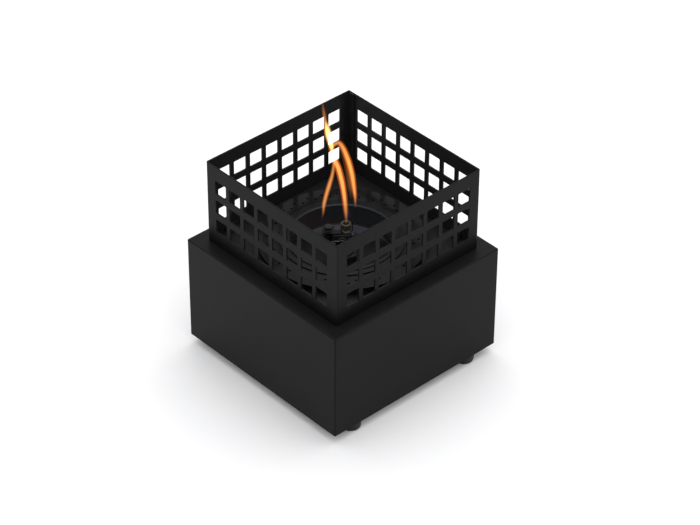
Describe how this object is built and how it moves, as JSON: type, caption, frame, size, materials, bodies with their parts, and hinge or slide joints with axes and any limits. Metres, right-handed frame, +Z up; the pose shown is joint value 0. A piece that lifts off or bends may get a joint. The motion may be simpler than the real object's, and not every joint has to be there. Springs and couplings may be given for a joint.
{
  "type": "tabletop fireplace",
  "caption": "Square tabletop gas fireplace: black sheet-steel base on rubber feet, lift-off perforated grille, and a round burner insert with its own gas cartridge.",
  "frame": {"origin": "centre of the base on the surface that it stands on", "axes": "+Z up; the -Y and +X walls are the two that face the camera in the picture; the burner's own row of parts lies along the XY diagonal"},
  "size_m": [0.2, 0.2, 0.2054],
  "materials": {
    "powder_coat": "satin black powder coat",
    "enamel": "semi-gloss black heat-proof paint",
    "stainless": "polished stainless steel, a little heat-tinted",
    "zinc_steel": "zinc-plated steel",
    "dark_metal": "blackened metal",
    "brass": "turned brass",
    "rubber": "matte black rubber",
    "lead_rubber": "black silicone rubber",
    "black_plastic": "black moulded plastic",
    "ceramic": "white glazed ceramic",
    "fibre": "pressed fibre gasket",
    "cartridge_paint": "light grey lacquered tinplate"
  },
  "bodies": {
    "base": {"base_shell": "powder_coat", "side_bracket_left": "zinc_steel", "side_bracket_right": "zinc_steel", "base_plate": "zinc_steel", "foot_1": "rubber", "foot_2": "rubber", "foot_3": "rubber", "foot_4": "rubber", "foot_screw_1": "zinc_steel", "foot_screw_2": "zinc_steel", "foot_screw_3": "zinc_steel", "foot_screw_4": "zinc_steel", "foot_nut_1": "zinc_steel", "foot_nut_2": "zinc_steel", "foot_nut_3": "zinc_steel", "foot_nut_4": "zinc_steel", "grille_locator_1": "powder_coat", "grille_locator_2": "powder_coat", "grille_locator_3": "powder_coat", "grille_locator_4": "powder_coat", "cartridge_guide_1": "zinc_steel", "cartridge_guide_2": "zinc_steel", "cartridge_guide_3": "zinc_steel", "cartridge_guide_4": "zinc_steel"},
    "grille": {"grille_panel_left": "powder_coat", "grille_panel_right": "powder_coat"},
    "insert": {"surround_plate": "enamel", "plate_standoff_1": "enamel", "plate_standoff_2": "enamel", "plate_standoff_3": "enamel", "plate_standoff_4": "enamel", "burner_bowl": "stainless", "bowl_gasket": "fibre", "thread_seal": "rubber", "valve_body": "dark_metal", "valve_nut": "dark_metal", "jet_base": "brass", "jet_nozzle": "brass", "gland_nut": "brass", "igniter_bracket": "dark_metal", "igniter_body": "black_plastic", "igniter_spring": "stainless", "piezo_element": "ceramic", "electrode_clip": "zinc_steel", "electrode_insulator": "ceramic", "electrode_pin": "stainless", "igniter_lead": "lead_rubber"},
    "gas_tap": {"valve_spindle": "stainless", "control_key": "stainless"},
    "button": {"igniter_button": "dark_metal"},
    "cartridge": {"cartridge_can": "cartridge_paint", "cartridge_dome": "cartridge_paint", "cartridge_boss": "zinc_steel"}
  },
  "joints": [
    {"name": "grille_lift", "type": "slide", "parent": "base", "child": "grille", "axis": [0, 0, 1], "range_m": [0, 0.1]},
    {"name": "insert_lift", "type": "slide", "parent": "base", "child": "insert", "axis": [0, 0, 1], "range_m": [0, 0.12]},
    {"name": "cartridge_turn", "type": "hinge", "parent": "insert", "child": "cartridge", "pos_m": [0, 0, 0.05], "axis": [0, 0, 1], "range_deg": [-1800, 0]},
    {"name": "tap_turn", "type": "hinge", "parent": "insert", "child": "gas_tap", "pos_m": [0, 0, 0.12765], "axis": [0.7071, -0.7071, 0], "range_deg": [-90, 0]},
    {"name": "igniter_press", "type": "slide", "parent": "insert", "child": "button", "axis": [0, 0, -1], "range_m": [0, 0.002], "stiffness_N_per_m": 500, "springref_m": -0.002, "deforming": ["igniter_spring"]}
  ]
}
